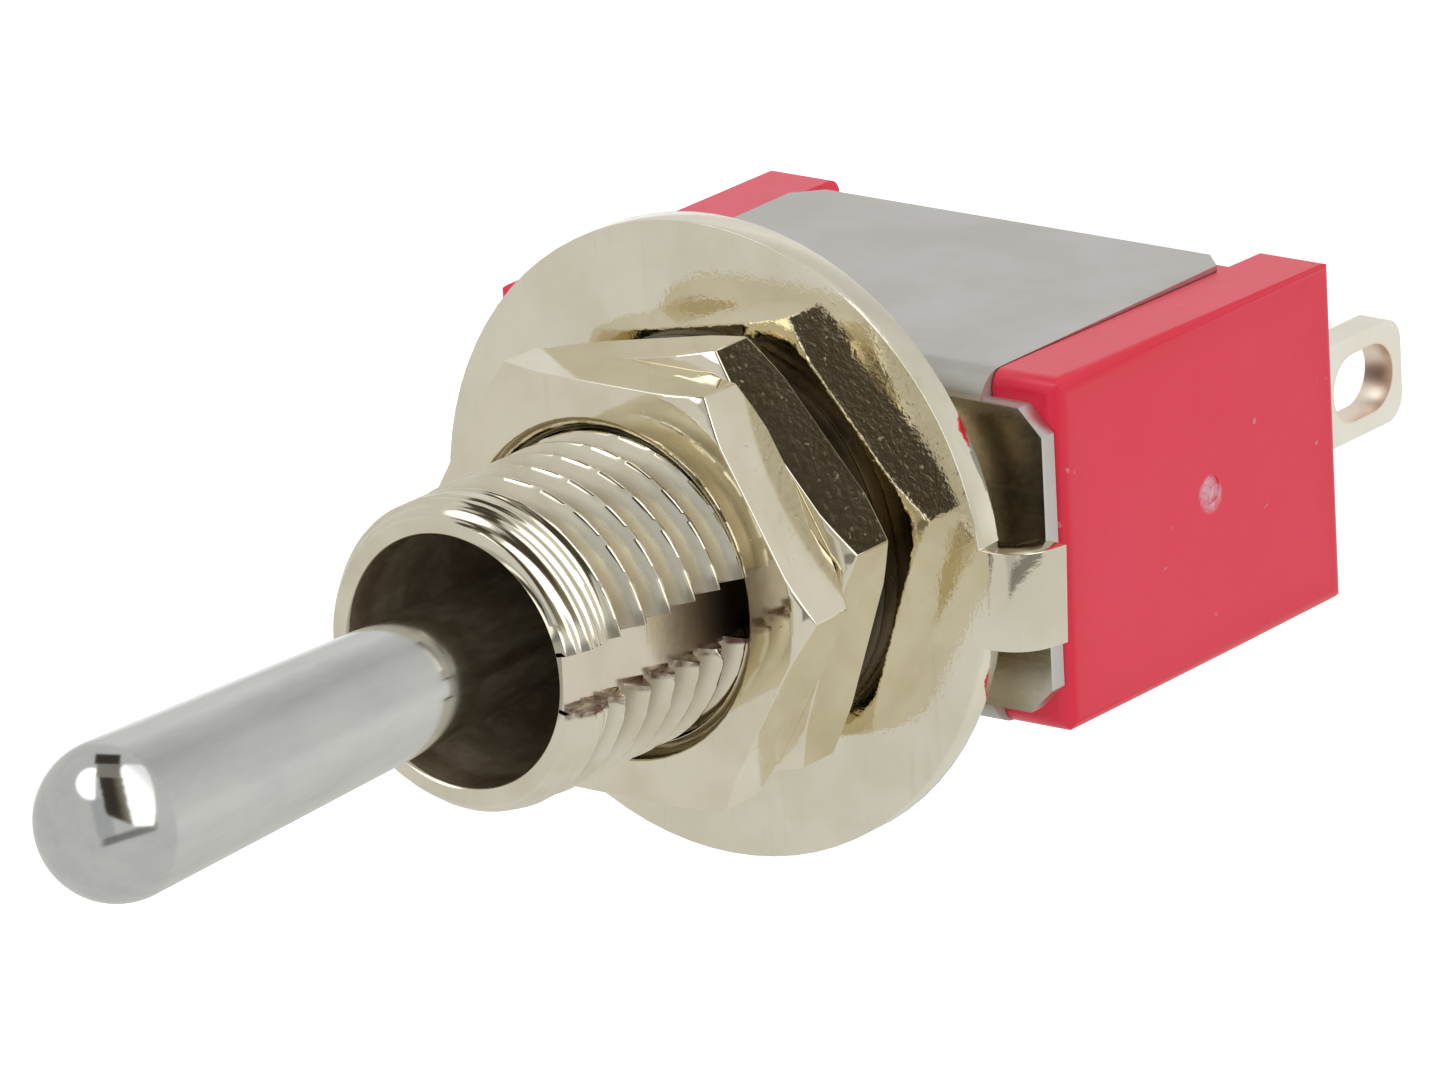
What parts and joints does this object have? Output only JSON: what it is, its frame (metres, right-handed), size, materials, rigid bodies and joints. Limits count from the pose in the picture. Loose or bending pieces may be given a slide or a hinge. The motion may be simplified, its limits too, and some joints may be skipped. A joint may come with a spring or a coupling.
{
  "type": "panel toggle switch",
  "caption": "Miniature toggle switch with a chromed bat lever, a threaded bushing with nuts and washers, a steel frame, a red case and solder lugs.",
  "frame": {"origin": "on the bushing's axis, level with the front face of the front nut", "axes": "+Z along the bushing towards the lever's tip, +X towards the keyway and the end lug beside it, +Y across the switch"},
  "size_m": [0.0138, 0.0122, 0.0345],
  "materials": {
    "lever_chrome": "bright chrome plate",
    "nickel": "warm nickel plate on turned brass",
    "frame_steel": "matt zinc-plated sheet",
    "case_red": "moulded thermoset, satin",
    "lug_silver": "silver-plated brass strip",
    "contact_silver": "silver rivet",
    "rocker_bronze": "bronze strip",
    "spring_steel": "bright spring wire",
    "plunger_nylon": "natural nylon",
    "seal_resin": "poured dark resin"
  },
  "bodies": {
    "housing": {"bushing": "nickel", "frame": "frame_steel", "case": "case_red", "keyed_washer": "nickel", "lock_washer": "nickel", "rear_nut": "nickel", "front_nut": "nickel", "terminal_left": "lug_silver", "terminal_centre": "lug_silver", "terminal_right": "lug_silver", "fixed_contact_left": "contact_silver", "fixed_contact_right": "contact_silver", "terminal_seal": "seal_resin"},
    "lever": {"lever": "lever_chrome", "pivot_pin": "spring_steel", "plunger_spring": "spring_steel"},
    "plunger": {"plunger": "plunger_nylon"},
    "rocker": {"rocker": "rocker_bronze", "rocker_contact_left": "contact_silver", "rocker_contact_right": "contact_silver"}
  },
  "joints": [
    {"name": "lever_swing", "type": "hinge", "parent": "housing", "child": "lever", "pos_m": [0, 0, -0.00044], "axis": [0, 1, 0], "range_deg": [-12, 12]},
    {"name": "plunger_slide", "type": "slide", "parent": "lever", "child": "plunger", "axis": [0, 0, 1], "range_m": [0, 0.00035], "stiffness_N_per_m": 400, "springref_m": -0.002, "deforming": ["plunger_spring"]},
    {"name": "rocker_tilt", "type": "hinge", "parent": "housing", "child": "rocker", "pos_m": [0, 0, -0.0101], "axis": [0, 1, 0], "range_deg": [-7, 7]}
  ],
  "couplings": [
    {"joint": "rocker_tilt", "follows": "lever_swing", "ratio": -0.58333}
  ]
}
